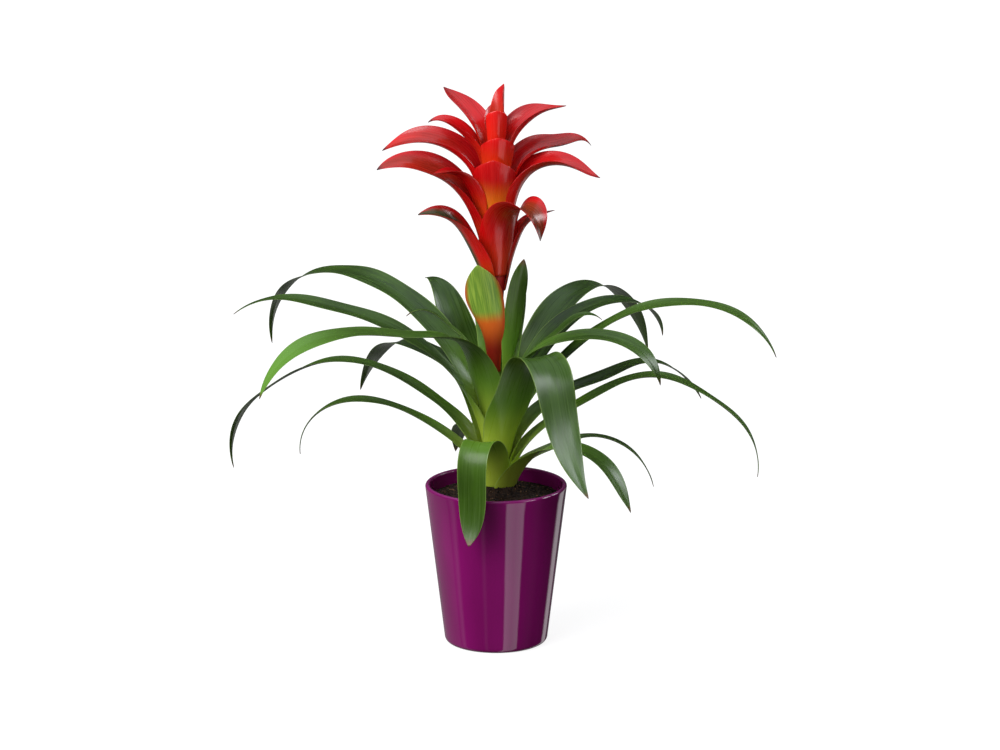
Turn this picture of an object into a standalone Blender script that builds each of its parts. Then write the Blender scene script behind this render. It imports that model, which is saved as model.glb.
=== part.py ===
"""Potted bromeliad: a Guzmania in a glossy purple pot, rebuilt as closed CAD bodies.

The frame: the pot stands on z = 0, its axis is the z axis, +X is to the right of the plant's
front view and the front is -Y.  Lengths below are in millimetres and angles in degrees;
every mesh is written in metres.
"""
import math

import bmesh
import bpy
import numpy as np

MM = 0.001

# ---------------------------------------------------------------- pot and soil
POT_HEIGHT = 149.5
POT_RIM_RADIUS = 65.0
POT_BASE_RADIUS = 47.5
POT_CORNER_RADIUS = 5.0
POT_WALL = 4.5
POT_FLOOR = 6.0
POT_SIDES = 48
FIT_GAP = 0.3

SOIL_EDGE_HEIGHT = 137.0
SOIL_CROWN_HEIGHT = 144.0
SOIL_CROWN_RADIUS = 20.0

# ---------------------------------------------------------------- stem of the plant
STEM_FOOT = SOIL_CROWN_HEIGHT + FIT_GAP
STEM_PROFILE = (
    (17.0, STEM_FOOT), (14.4, 158.0), (11.6, 172.0), (9.2, 186.0), (7.4, 200.0), (6.4, 216.0),
    (6.0, 250.0), (6.0, 312.0), (7.6, 334.0), (9.8, 356.0), (12.0, 380.0), (12.6, 402.0),
    (11.4, 426.0), (8.8, 448.0), (6.2, 464.0), (4.0, 480.0), (2.4, 494.0),
)
STEM_SIDES = 24

# ---------------------------------------------------------------- leaves and bracts
FOOT_GAP = 0.6
LEAF_CLASP = 62.0
BRACT_CLASP = 30.0
LEAF_THICKNESS = 1.1
CLASP_THICKNESS = 0.7
BRACT_THICKNESS = 0.9


def blade(rise, length, width, leans, heads, twist=(0, 0, 0), clasp=10.0, cup=0.35,
          hold=LEAF_CLASP, taper=0.45):
    """One strap leaf or bract.

    rise   height of its foot on the stem
    leans  angle from upright at its foot, at each fifth of its length, and at its tip
    heads  compass heading (0 right, 90 back, 180 left) at foot, middle and tip
    twist  roll about its midrib at foot, middle and tip
    clasp  half width of the foot that clasps the stem
    cup    how far each half turns up from the midrib, in radians
    hold   length of the foot that clasps the stem
    taper  share of the length after which it narrows to its tip
    """
    return {"rise": rise, "length": length, "width": width, "leans": leans,
            "heads": heads, "twist": twist, "clasp": clasp, "cup": cup, "hold": hold,
            "taper": taper}


LEAVES = {
    "leaf_inner_front": blade(214, 150, 21, (4, 6, 7, 7, 9, 14), (-16, -18, -20), (0, -32, -56), 7, 0.5, taper=0.6),
    "leaf_inner_left": blade(211, 146, 18, (4, 5, 27, 48, 56, 138), (168, 186, 192), clasp=7),
    "leaf_inner_back": blade(208, 141, 22, (5, 12, 12, 9, 6, 4), (30, 30, 30), clasp=8),
    "leaf_left_third": blade(188, 345, 36, (6, 18, 78, 80, 108, 164), (238, 212, 206), (0, 0, -10), 13),
    "leaf_right_third": blade(201, 226, 30, (6, 17, 60, 84, 118, 174), (-10, -15, -20), (0, 5, 18), 11),
    "leaf_back_tall": blade(198, 190, 26, (5, 14, 34, 62, 96, 140), (98, 98, 100), clasp=8),
    "leaf_right_sliver": blade(195, 160, 20, (5, 12, 33, 50, 56, 140), (15, 12, 10), clasp=8),
    "leaf_left_high": blade(182, 306, 28, (9, 30, 54, 73, 84, 131), (206, 176, 178), (0, -10, 0), 10),
    "leaf_right_second": blade(189, 252, 34, (6, 31, 44, 74, 107, 180), (35, 30, 20), clasp=11),
    "leaf_left_top": blade(187, 403, 31, (7, 42, 68, 91, 122, 194), (140, 135, 140), (0, -6, -8), 8),
    "leaf_right_top": blade(183, 311, 36, (7, 37, 48, 86, 136, 168), (53, 50, 34), clasp=11),
    "leaf_left_broad": blade(179, 203, 36, (8, 31, 48, 45, 45, 116), (114, 116, 124), clasp=10),
    "leaf_right_high": blade(177, 336, 27, (8, 38, 53, 79, 110, 161), (12, 5, -10), (0, 0, 12), 13),
    "leaf_front_right": blade(173, 280, 42, (10, 25, 44, 154, 152, 132), (-60, -60, -50), clasp=21),
    "leaf_left_hidden": blade(170, 287, 30, (9, 38, 84, 88, 128, 161), (120, 125, 130), clasp=14),
    "leaf_right_fourth": blade(167, 251, 25, (8, 48, 76, 74, 119, 153), (25, 25, 25), clasp=15),
    "leaf_front_left": blade(150, 187, 28, (14, 34, 80, 174, 176, 150), (-101, -108, -112), (0, 0, 0), 18, taper=0.6),
    "leaf_left_fourth": blade(161, 350, 21, (10, 51, 73, 113, 138, 198), (165, 165, 165), (0, 0, 14), 18),
    "leaf_right_fifth": blade(159, 320, 25, (14, 57, 65, 113, 136, 190), (5, 5, 5), (0, 0, 8), 18),
    "leaf_back_low": blade(157, 190, 24, (12, 44, 72, 100, 130, 160), (93, 93, 93), clasp=14),
    "leaf_left_fifth": blade(153, 228, 21, (12, 54, 65, 89, 130, 189), (164, 175, 175), clasp=13),
    "leaf_right_sixth": blade(147, 174, 30, (18, 46, 75, 109, 143, 158), (-40, -28, -30), clasp=18),
    "leaf_back_left_low": blade(151, 140, 22, (14, 50, 78, 105, 135, 160), (110, 108, 106), clasp=10),
    "leaf_right_seventh": blade(149, 178, 17, (22, 73, 74, 107, 137, 170), (38, 12, 6), clasp=8),
    "leaf_back_right_low": blade(149, 136, 22, (16, 52, 80, 108, 138, 160), (93, 90, 88), clasp=8),
}


def bract(rise, length, width, leans, heads, clasp=14.0, cup=1.6, hold=BRACT_CLASP, taper=0.45,
          twist=(0, 0, 0)):
    """One coloured bract of the flower head: a short, strongly channelled blade."""
    return blade(rise, length, width, leans, heads, twist, clasp, cup, hold, taper)


BRACTS = {
    "bract_green_front": bract(256, 106, 36, (5, 8, 11, 13, 15, 16), (-122, -130, -134), 8, 1.0, 60, 0.6, (20, 38, 38)),
    "bract_lower_left": bract(324, 117, 44, (8, 21, 26, 34, 66, 108), (196, 198, 196), 10, 1.4, twist=(0, -10, -14)),
    "bract_lower_right": bract(331, 94, 24, (12, 13, 19, 28, 66, 82), (15, 15, 15), 7, 1.5),
    "bract_lower_back": bract(339, 104, 30, (9, 14, 26, 46, 78, 112), (102, 100, 99), 7),
    "bract_front_curled": bract(346, 122, 48, (11, 12, 22, 60, 140, 190), (-68, -52, -20), 16, 1.3),
    "bract_left_large": bract(361, 153, 40, (11, 18, 32, 58, 80, 126), (188, 190, 190), 12, 1.4, twist=(0, -24, -30)),
    "bract_back_large": bract(369, 134, 36, (9, 14, 34, 68, 98, 128), (78, 76, 76), 13),
    "bract_front_left_cup": bract(386, 90, 29, (13, 18, 24, 42, 78, 94), (-154, -150, -144), 8),
    "bract_right_large": bract(388, 124, 40, (10, 13, 38, 78, 110, 114), (-3, -4, -5), 12, 1.4, twist=(0, 6, 10)),
    "bract_front_tall": bract(394, 63, 44, (8, 10, 12, 14, 10, 4), (-95, -95, -95), 14, 1.35, taper=0.6),
    "bract_left_second": bract(404, 134, 38, (8, 15, 47, 74, 102, 126), (172, 171, 171), 13, 1.4, twist=(0, -14, -24)),
    "bract_right_second": bract(411, 120, 32, (7, 18, 60, 86, 80, 150), (29, 29, 26), 10, 1.4, twist=(0, 10, 16)),
    "bract_back_second": bract(421, 104, 22, (7, 12, 36, 68, 98, 124), (102, 101, 101), 6, 1.4),
    "bract_front_short": bract(428, 48, 36, (8, 9, 10, 12, 8, 0), (-84, -84, -84), 12, 1.35, taper=0.6),
    "bract_left_curled": bract(436, 82, 31, (7, 18, 38, 48, 66, 130), (184, 184, 184), 9, 1.4, twist=(0, -6, -10)),
    "bract_right_top": bract(441, 92, 40, (7, 12, 40, 58, 80, 86), (22, 24, 24), 10, 1.4),
    "bract_left_top": bract(446, 87, 34, (7, 15, 36, 48, 54, 58), (143, 143, 143), 9, 1.3),
    "bract_back_top": bract(452, 54, 24, (4, 8, 16, 30, 46, 60), (92, 94, 96), 6, 1.3),
    "bract_bud_sheath": bract(456, 42, 23, (2, 3, 2, 0, -2, -4), (-84, -84, -84), 8, 1.7, 16, 0.7),
    "bract_bud": bract(472, 48, 22, (3, 6, 8, 8, 6, 2), (60, 40, 10), 4, 1.6, 16, 0.6),
}

LEAF_STATIONS = 12
LEAF_ACROSS = 7
BRACT_STATIONS = 8
BRACT_ACROSS = 7

# ---------------------------------------------------------------- colours of the CAD bodies
COLOURS = {
    "purple_glaze": ((0.20, 0.008, 0.13), 0.12),
    "potting_soil": ((0.020, 0.012, 0.008), 0.95),
    "stem_green": ((0.20, 0.28, 0.06), 0.50),
    "leaf_green": ((0.045, 0.16, 0.030), 0.38),
    "bract_green": ((0.24, 0.42, 0.07), 0.40),
    "bract_red": ((0.62, 0.020, 0.012), 0.35),
}


# ---------------------------------------------------------------- small maths
def ease(x):
    """0 to 1 with a flat start and a flat end."""
    x = np.clip(x, 0.0, 1.0)
    return x * x * (3.0 - 2.0 * x)


def through(values, t):
    """A smooth curve through evenly spaced values, read at t from 0 to 1."""
    v = np.asarray(values, float)
    last = len(v) - 1
    x = np.clip(t, 0.0, 1.0) * last
    i = np.minimum(x.astype(int), last - 1)
    f = x - i
    ext = np.concatenate([[2 * v[0] - v[1]], v, [2 * v[-1] - v[-2]]])
    a, b, c, d = ext[i], ext[i + 1], ext[i + 2], ext[i + 3]
    return b + 0.5 * f * (c - a + f * (2 * a - 5 * b + 4 * c - d + f * (3 * (b - c) + d - a)))


def stem_radius(height):
    """Radius of the stem at a height."""
    radii = [r for r, _ in STEM_PROFILE]
    heights = [z for _, z in STEM_PROFILE]
    return float(np.interp(height, heights, radii))


# ---------------------------------------------------------------- the blade surface
def midrib(spec, stations):
    """Places, directions and side vectors along a blade's midrib."""
    fine = 400
    t = np.linspace(0.0, 1.0, fine)
    lean = np.radians(through(spec["leans"], t))
    head = np.radians(through(spec["heads"], t))
    along = np.stack([np.sin(lean) * np.cos(head), np.sin(lean) * np.sin(head), np.cos(lean)], 1)
    foot = stem_radius(spec["rise"]) + FOOT_GAP
    place = np.zeros((fine, 3))
    place[0] = (foot * math.cos(head[0]), foot * math.sin(head[0]), spec["rise"])
    step = spec["length"] / (fine - 1)
    place[1:] = place[0] + np.cumsum((along[1:] + along[:-1]) / 2 * step, 0)
    pick = np.clip((stations * (fine - 1)).astype(int), 0, fine - 1)
    heading = head[pick]
    side = np.stack([-np.sin(heading), np.cos(heading), np.zeros(len(pick))], 1)
    upper = np.cross(along[pick], side)
    roll = np.radians(through(spec["twist"], stations))[:, None]
    return (place[pick], side * np.cos(roll) + upper * np.sin(roll),
            upper * np.cos(roll) - side * np.sin(roll))


def half_width(spec, t):
    """Half of the blade's width along its length, wider where it clasps the stem."""
    start = spec["taper"]
    free = 1.0 - np.clip((t - start) / (1.0 - start), 0.0, 1.0) ** 3.0
    body = spec["width"] / 2 * np.maximum(free, 0.0) ** 0.8
    clasp = 1.0 - ease(t * spec["length"] / (1.3 * spec["hold"]))
    return body + (spec["clasp"] - spec["width"] / 2) * clasp


def blade_grid(spec, stations, across):
    """The blade's upper surface: one row of points for each station."""
    place, side, upper = midrib(spec, stations)
    half = half_width(spec, stations)
    bend = spec["cup"] * (1 - 0.5 * stations) / (spec["width"] / 2)
    run = stations * spec["length"]
    clasp = 1.0 - ease((run - 0.35 * spec["hold"]) / (0.9 * spec["hold"]))
    v = np.linspace(-1.0, 1.0, across)
    grid = np.zeros((len(stations), across, 3))
    for i in range(len(stations)):
        u = v * half[i]
        k = bend[i]
        flat = place[i] + np.outer(np.sin(k * u) / k, side[i]) + np.outer((1 - np.cos(k * u)) / k, upper[i])
        reach = math.hypot(place[i][0], place[i][1])
        angle = math.atan2(place[i][1], place[i][0]) + u / reach
        round_ = np.stack([reach * np.cos(angle), reach * np.sin(angle), np.full(across, place[i][2])], 1)
        grid[i] = clasp[i] * round_ + (1 - clasp[i]) * flat
    return grid


def surface_normals(grid):
    """Unit normals on the outer (lower) side of a blade grid."""
    down = np.gradient(grid, axis=0)
    over = np.gradient(grid, axis=1)
    normal = np.cross(over, down)
    return normal / np.maximum(np.linalg.norm(normal, axis=2, keepdims=True), 1e-9)


def spread(spec, count):
    """Stations along a blade, closer together where it bends sharply."""
    t = np.linspace(0.0, 1.0, 400)
    turn = np.abs(np.gradient(np.radians(through(spec["leans"], t)), t))
    pace = 1.0 + 0.45 * turn
    run = np.concatenate([[0.0], np.cumsum((pace[1:] + pace[:-1]) / 2)])
    return np.interp(np.linspace(0.0, 1.0, count), run / run[-1], t)


def thickness_at(spec, t, thick):
    """Midrib thickness, thinner in the clasping foot and towards the tip."""
    clasp = 1.0 - ease(t * spec["length"] / spec["hold"])
    return clasp * CLASP_THICKNESS + (1.0 - clasp) * thick * (1.0 - 0.5 * t)


def blade_body(spec, count, across, thick):
    """A closed blade: flat upper side, domed under side, sharp margins and a pointed tip."""
    stations = spread(spec, count + 1)
    grid = blade_grid(spec, stations, across)
    outward = surface_normals(grid)
    v = np.linspace(-1.0, 1.0, across)
    depth = thickness_at(spec, stations, thick)[:, None] * (1.0 - v ** 2)[None, :]
    under = grid + outward * depth[:, :, None]
    tip = len(stations) - 1
    verts = []
    for i in range(tip):
        verts += [tuple(p) for p in grid[i]]
        verts += [tuple(p) for p in under[i][1:-1]]
    verts.append(tuple(grid[tip][across // 2]))
    ring = 2 * across - 2

    def top(i, j):
        return i * ring + j

    def low(i, j):
        return top(i, j) if j in (0, across - 1) else i * ring + across + j - 1

    faces = []
    for i in range(tip - 1):
        for j in range(across - 1):
            faces.append((top(i, j), top(i + 1, j), top(i + 1, j + 1), top(i, j + 1)))
            faces.append((low(i, j), low(i, j + 1), low(i + 1, j + 1), low(i + 1, j)))
    point = len(verts) - 1
    for j in range(across - 1):
        faces.append(tuple(dict.fromkeys((top(0, j), top(0, j + 1), low(0, j + 1), low(0, j)))))
        faces.append((top(tip - 1, j), point, top(tip - 1, j + 1)))
        faces.append((low(tip - 1, j), low(tip - 1, j + 1), point))
    return verts, faces


# ---------------------------------------------------------------- round bodies
def revolve(profile, sides):
    """A closed body of revolution; the first and last rings are capped flat."""
    verts = []
    for radius, height in profile:
        for k in range(sides):
            a = 2 * math.pi * k / sides
            verts.append((radius * math.cos(a), radius * math.sin(a), height))
    faces = [tuple(reversed(range(sides)))]
    for i in range(len(profile) - 1):
        for k in range(sides):
            n = (k + 1) % sides
            faces.append((i * sides + k, i * sides + n, (i + 1) * sides + n, (i + 1) * sides + k))
    last = (len(profile) - 1) * sides
    faces.append(tuple(range(last, last + sides)))
    return verts, faces


def arc(centre, radius, start, end, count):
    """Points on a circle in the (radius, height) plane."""
    angles = np.radians(np.linspace(start, end, count))
    return [(centre[0] + radius * math.cos(a), centre[1] + radius * math.sin(a)) for a in angles]


def inner_radius(height):
    """Radius of the pot's inside wall at a height."""
    share = (height - POT_CORNER_RADIUS) / (POT_HEIGHT - POT_CORNER_RADIUS)
    return POT_BASE_RADIUS + (POT_RIM_RADIUS - POT_BASE_RADIUS) * share - POT_WALL


def pot_profile():
    """Underside, rounded corner, straight flared wall, rounded lip, inside wall and floor."""
    lip = POT_WALL / 2
    corner = (POT_BASE_RADIUS - POT_CORNER_RADIUS, POT_CORNER_RADIUS)
    lip_centre = (POT_RIM_RADIUS - lip, POT_HEIGHT - lip)
    points = arc(corner, POT_CORNER_RADIUS, -90, -7, 5)
    points += arc(lip_centre, lip, 0, 180, 7)
    points.append((inner_radius(SOIL_EDGE_HEIGHT), SOIL_EDGE_HEIGHT))
    points.append((inner_radius(POT_FLOOR), POT_FLOOR))
    return points


def soil_profile():
    """Potting soil filling the pot and mounded up to the plant."""
    foot = POT_FLOOR + FIT_GAP
    edge = inner_radius(SOIL_EDGE_HEIGHT) - FIT_GAP
    rise = SOIL_CROWN_HEIGHT - SOIL_EDGE_HEIGHT
    reach = edge - SOIL_CROWN_RADIUS
    return [
        (inner_radius(foot) - FIT_GAP, foot),
        (edge, SOIL_EDGE_HEIGHT),
        (edge - 0.35 * reach, SOIL_EDGE_HEIGHT + 0.2 * rise),
        (edge - 0.75 * reach, SOIL_EDGE_HEIGHT + 0.75 * rise),
        (SOIL_CROWN_RADIUS, SOIL_CROWN_HEIGHT),
    ]


# ---------------------------------------------------------------- objects
def clear_scene():
    for thing in list(bpy.data.objects):
        bpy.data.objects.remove(thing, do_unlink=True)


def material(name):
    """One Principled material for each colour of the CAD bodies."""
    found = bpy.data.materials.get(name)
    if found:
        return found
    colour, roughness = COLOURS[name]
    made = bpy.data.materials.new(name)
    made.use_nodes = True
    shader = made.node_tree.nodes["Principled BSDF"]
    shader.inputs["Base Color"].default_value = (*colour, 1.0)
    shader.inputs["Roughness"].default_value = roughness
    shader.inputs["Metallic"].default_value = 0.0
    made.diffuse_color = (*colour, 1.0)
    return made


def add_body(name, verts, faces, material_name):
    """A named object with its closed mesh in metres."""
    mesh = bpy.data.meshes.new(name)
    mesh.from_pydata([(x * MM, y * MM, z * MM) for x, y, z in verts], [], faces)
    work = bmesh.new()
    work.from_mesh(mesh)
    bmesh.ops.recalc_face_normals(work, faces=work.faces)
    work.to_mesh(mesh)
    work.free()
    for face in mesh.polygons:
        face.use_smooth = len(face.vertices) < 5
    mesh.materials.append(material(material_name))
    thing = bpy.data.objects.new(name, mesh)
    bpy.context.scene.collection.objects.link(thing)
    return thing


def build():
    clear_scene()
    add_body("pot", *revolve(pot_profile(), POT_SIDES), "purple_glaze")
    add_body("soil", *revolve(soil_profile(), POT_SIDES), "potting_soil")
    add_body("flower_stem", *revolve([(r, z) for r, z in STEM_PROFILE], STEM_SIDES), "stem_green")
    for name, spec in LEAVES.items():
        add_body(name, *blade_body(spec, LEAF_STATIONS, LEAF_ACROSS, LEAF_THICKNESS), "leaf_green")
    for name, spec in BRACTS.items():
        colour = "bract_green" if name == "bract_green_front" else "bract_red"
        add_body(name, *blade_body(spec, BRACT_STATIONS, BRACT_ACROSS, BRACT_THICKNESS), colour)


build()
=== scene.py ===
# %% [markdown]
# # A potted bromeliad
#
# The object is a Guzmania: a rosette of strap leaves round a short stem, a spike of red bracts
# above it, and a glazed pot with dark soil. A plain frame of solids, one for each leaf, bract,
# stem, pot and soil, is loaded first and never moved. Each lesson below makes the fine piece
# that stands in one solid's place, and then its finish.

import math

import bpy
import numpy as np
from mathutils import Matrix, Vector, noise


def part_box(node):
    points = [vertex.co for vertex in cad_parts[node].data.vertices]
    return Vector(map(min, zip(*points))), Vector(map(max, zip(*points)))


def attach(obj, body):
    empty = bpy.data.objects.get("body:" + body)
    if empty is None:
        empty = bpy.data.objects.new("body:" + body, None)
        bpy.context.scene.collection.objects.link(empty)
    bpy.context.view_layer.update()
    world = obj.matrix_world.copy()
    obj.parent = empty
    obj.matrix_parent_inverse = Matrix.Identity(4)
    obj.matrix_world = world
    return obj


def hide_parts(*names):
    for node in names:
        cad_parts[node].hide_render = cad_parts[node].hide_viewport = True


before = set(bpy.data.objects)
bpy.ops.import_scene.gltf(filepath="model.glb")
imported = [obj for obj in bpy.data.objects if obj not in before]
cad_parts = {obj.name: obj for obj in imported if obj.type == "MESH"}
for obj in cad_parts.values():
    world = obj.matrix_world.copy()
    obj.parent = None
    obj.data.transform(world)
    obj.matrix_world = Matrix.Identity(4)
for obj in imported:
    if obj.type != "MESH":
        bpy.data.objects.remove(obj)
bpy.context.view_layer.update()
MM = 0.001

pot_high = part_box("pot")[1]
soil_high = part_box("soil")[1]
POT_HEIGHT = pot_high.z / MM
POT_RIM_RADIUS = pot_high.x / MM
SOIL_CROWN_HEIGHT = soil_high.z / MM
print("pot", round(POT_HEIGHT, 1), "mm tall and", round(2 * POT_RIM_RADIUS, 1), "mm across its rim")

# %% [markdown]
# ## Small helpers
#
# Operators act on whatever is selected, so each new primitive starts from an empty selection.
# Colours are written as sRGB hex, as a paint chart gives them, and turned to linear light once.

# %% Helpers for making pieces
def begin(operator, **settings):
    """Add a primitive with nothing else selected, and return it."""
    if bpy.context.object and bpy.context.object.mode != "OBJECT":
        bpy.ops.object.mode_set(mode="OBJECT")
    bpy.ops.object.select_all(action="DESELECT")
    operator(**settings)
    return bpy.context.object


def finish_piece(piece, name, skin, slot, *nodes):
    """Name a finished piece, give it its finish and put it in the place of its plain solids."""
    piece.name = name
    piece.data.name = name
    piece.data.materials.clear()
    piece.data.materials.append(skin)
    for face in piece.data.polygons:
        face.material_index = 0
    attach(piece, "root")
    if nodes:
        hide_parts(*nodes)
    return piece


def apply_all(piece):
    """Apply every modifier of the active piece in order."""
    bpy.context.view_layer.objects.active = piece
    for modifier in list(piece.modifiers):
        bpy.ops.object.modifier_apply(modifier=modifier.name)


def points_of(piece):
    """The piece's vertices as an array, in millimetres."""
    flat = np.zeros(len(piece.data.vertices) * 3)
    piece.data.vertices.foreach_get("co", flat)
    return flat.reshape(-1, 3) / MM


def set_points(piece, points):
    """Write vertices given in millimetres."""
    piece.data.vertices.foreach_set("co", (np.asarray(points) * MM).ravel())
    piece.data.update()


def set_attribute(piece, name, values):
    """Store one vector for each vertex, for a finish to read."""
    layer = piece.data.attributes.new(name, "FLOAT_VECTOR", "POINT")
    layer.data.foreach_set("vector", np.asarray(values, dtype=np.float32).ravel())


# %% Helpers for finishes
def colour(code):
    """sRGB hex to linear light, with full opacity."""
    parts = [int(code[i:i + 2], 16) / 255 for i in (1, 3, 5)]
    linear = [p / 12.92 if p <= 0.04045 else ((p + 0.055) / 1.055) ** 2.4 for p in parts]
    return (*linear, 1.0)


def node(tree, kind, options=None, sockets=None):
    """Add one node with its options; each socket takes a value or another node's output."""
    made = tree.nodes.new(kind)
    for name, value in (options or {}).items():
        setattr(made, name, value)
    for name, value in (sockets or {}).items():
        if isinstance(value, bpy.types.NodeSocket):
            tree.links.new(value, made.inputs[name])
        else:
            made.inputs[name].default_value = value
    return made


def finish(name, **settings):
    """A new material with one Principled shader, and the shader's own even values."""
    made = bpy.data.materials.new(name)
    made.use_nodes = True
    shader = made.node_tree.nodes["Principled BSDF"]
    for socket, value in settings.items():
        shader.inputs[socket.replace("_", " ")].default_value = value
    return made, made.node_tree, shader


def blend_colours(tree, share, first, second):
    """The colour that goes from first to second as share goes from 0 to 1."""
    made = node(tree, "ShaderNodeMix", {"data_type": "RGBA"}, {0: share, 6: first, 7: second})
    return made.outputs[2]


def window(tree, value, low, high, bottom=0.0, top=1.0):
    """A value carried smoothly from bottom at low to top at high."""
    made = node(tree, "ShaderNodeMapRange", {"interpolation_type": "SMOOTHSTEP"},
                {0: value, 1: low, 2: high, 3: bottom, 4: top})
    return made.outputs[0]


def times(tree, first, second):
    """The product of two values."""
    return node(tree, "ShaderNodeMath", {"operation": "MULTIPLY"}, {0: first, 1: second}).outputs[0]


# %% [markdown]
# ## The camera
#
# A long lens from four metres keeps the plant's proportions almost parallel. The camera stands
# above the plant and looks down a little, so that the soil shows inside the rim.

# %% Camera
CAMERA_PLACE = (0.0036, -4.0, 1.24)
CAMERA_DOWN = 13.88
CAMERA_LENS = 162.7
CAMERA_SENSOR = 36.0
CAMERA_REACH = 60.0

camera_data = bpy.data.cameras.new("camera")
camera_data.lens = CAMERA_LENS
camera_data.sensor_width = CAMERA_SENSOR
camera_data.clip_end = CAMERA_REACH
camera = bpy.data.objects.new("camera", camera_data)
camera.location = CAMERA_PLACE
camera.rotation_euler = (math.radians(90 - CAMERA_DOWN), 0, 0)
bpy.context.scene.collection.objects.link(camera)
bpy.context.scene.camera = camera

# %% [markdown]
# ## The studio
#
# The table is a light table: it glows from below, so it stays white and shadows on it are
# faint. One broad lamp stands high on the front left and the room is darker on the right, which
# rounds the pot and the leaves. Gloss shows what stands round a thing, so the gloss sees its own
# room: a tall white panel on the front right for the upright streak on the pot, narrow dark and
# pale panels beside it, one more bright panel behind on the right, one panel up on the right for
# silvery light on the leaves, and a cool soft box overhead.

# %% Table, lamp and room
TABLE_SIZE = 40.0
TABLE_GREY = "#7A7A7A"
TABLE_GLOW = 0.86
LAMP_ANGLE = 48.0
LAMP_STRENGTH = 2.9
LAMP_FROM = (-0.62, -0.62, 0.78)

table = begin(bpy.ops.mesh.primitive_plane_add, size=TABLE_SIZE)
table.name = "table"
table_paint, _, table_shader = finish("white_light_table", Roughness=0.7)
table_shader.inputs["Base Color"].default_value = colour(TABLE_GREY)
table_shader.inputs["Specular IOR Level"].default_value = 0.0
table_shader.inputs["Emission Color"].default_value = colour("#FFFFFF")
table_shader.inputs["Emission Strength"].default_value = TABLE_GLOW
table.data.materials.append(table_paint)
table.visible_glossy = False
table.visible_diffuse = False
table.visible_shadow = False

lamp_data = bpy.data.lights.new("lamp", "SUN")
lamp_data.energy = LAMP_STRENGTH
lamp_data.angle = math.radians(LAMP_ANGLE)
lamp = bpy.data.objects.new("lamp", lamp_data)
lamp.rotation_euler = Vector(LAMP_FROM).to_track_quat("Z", "Y").to_euler()
bpy.context.scene.collection.objects.link(lamp)

# Azimuth runs from 0 at -X through 0.25 at -Y, the camera's side, to 0.5 at +X.
ROOM_PANELS = (
    (0.00, 0.10), (0.03, 0.45), (0.05, 0.04), (0.17, 0.03), (0.185, 0.22), (0.20, 0.05),
    (0.295, 0.07), (0.302, 1.9), (0.345, 1.5), (0.385, 1.9), (0.392, 0.02), (0.46, 0.06),
    (0.50, 0.02), (0.60, 0.02), (0.62, 1.4), (0.66, 0.9), (0.67, 0.05), (0.74, 0.25), (0.92, 0.30),
)
SOFT_BOX_LIGHT = (0.8, 0.88, 1.0, 1)
SIDE_PANEL_LIGHT = (9.0, 9.3, 9.8, 1)

# The side panel fades in and out over these shares of the way to the right and up.
SIDE_PANEL_EDGE = (0.60, 0.80)
SIDE_PANEL_FOOT = (0.32, 0.46)
SIDE_PANEL_TOP = (0.56, 0.72)

world = bpy.data.worlds.new("room")
bpy.context.scene.world = world
world.use_nodes = True
room = world.node_tree
direction = node(room, "ShaderNodeTexCoord").outputs["Generated"]
round_about = node(room, "ShaderNodeTexGradient", {"gradient_type": "RADIAL"}, {0: direction})
panels = node(room, "ShaderNodeValToRGB", None, {0: round_about.outputs["Fac"]})
while len(panels.color_ramp.elements) > 1:
    panels.color_ramp.elements.remove(panels.color_ramp.elements[-1])
panels.color_ramp.elements[0].position = ROOM_PANELS[0][0]
panels.color_ramp.elements[0].color = (*[ROOM_PANELS[0][1]] * 3, 1)
for place, light in ROOM_PANELS[1:]:
    panels.color_ramp.elements.new(place).color = (light, light, light, 1)
across, _, height = node(room, "ShaderNodeSeparateXYZ", None, {0: direction}).outputs
walls = blend_colours(room, window(room, across, -0.9, 0.8), colour("#E6E6E6"), colour("#4C4C4C"))
ceiling = blend_colours(room, window(room, height, 0.0, 0.8), walls, colour("#F2F5FA"))
soft_light = blend_colours(room, window(room, height, -0.15, 0.05), colour("#6A6A66"), ceiling)
soft_box = blend_colours(room, window(room, height, 0.45, 0.9), colour("#38393A"), SOFT_BOX_LIGHT)
beside = times(room, window(room, across, *SIDE_PANEL_EDGE),
               window(room, height, *SIDE_PANEL_TOP, 1.0, 0.0))
beside = times(room, beside, window(room, height, *SIDE_PANEL_FOOT))
with_panel = blend_colours(room, beside, soft_box, SIDE_PANEL_LIGHT)
gloss_light = blend_colours(room, window(room, height, -0.14, 0.06), panels.outputs[0], with_panel)
seen_in_gloss = node(room, "ShaderNodeLightPath").outputs["Is Glossy Ray"]
lit = blend_colours(room, seen_in_gloss, soft_light, gloss_light)
room.links.new(lit, room.nodes["Background"].inputs[0])
room.nodes["Background"].inputs[1].default_value = 1.0
bpy.context.scene.view_settings.view_transform = "Standard"

# %% [markdown]
# ## The pot
#
# The real pot is slip-cast or pressed clay with one flared wall, a rounded lip and a small
# rounded foot. It could be spun from a profile. Here a disc is drawn up ring by ring instead,
# because a potter thinks of it that way: foot, wall, lip, and down the inside to the floor.

# %% Pot
POT_FOOT_RADIUS = 47.5
POT_FOOT_CORNER = 5.0
POT_WALL = 4.5
POT_FLOOR = 6.0
POT_SIDES = 192
FOOT_RECESS = 1.5
FOOT_RECESS_RADIUS = 38.0
FLOOR_CORNER = 4.0
WALL_RINGS = 16
SHARP_FROM = 40.0


def arc(centre, radius, start, end, count):
    """Points on a circle in the (radius, height) plane."""
    angles = np.radians(np.linspace(start, end, count))
    return [(centre[0] + radius * math.cos(a), centre[1] + radius * math.sin(a)) for a in angles]


def straight(start, end, count):
    """Points from after start up to end."""
    share = np.linspace(0, 1, count + 1)[1:]
    return [(start[0] + (end[0] - start[0]) * s, start[1] + (end[1] - start[1]) * s) for s in share]


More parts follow.
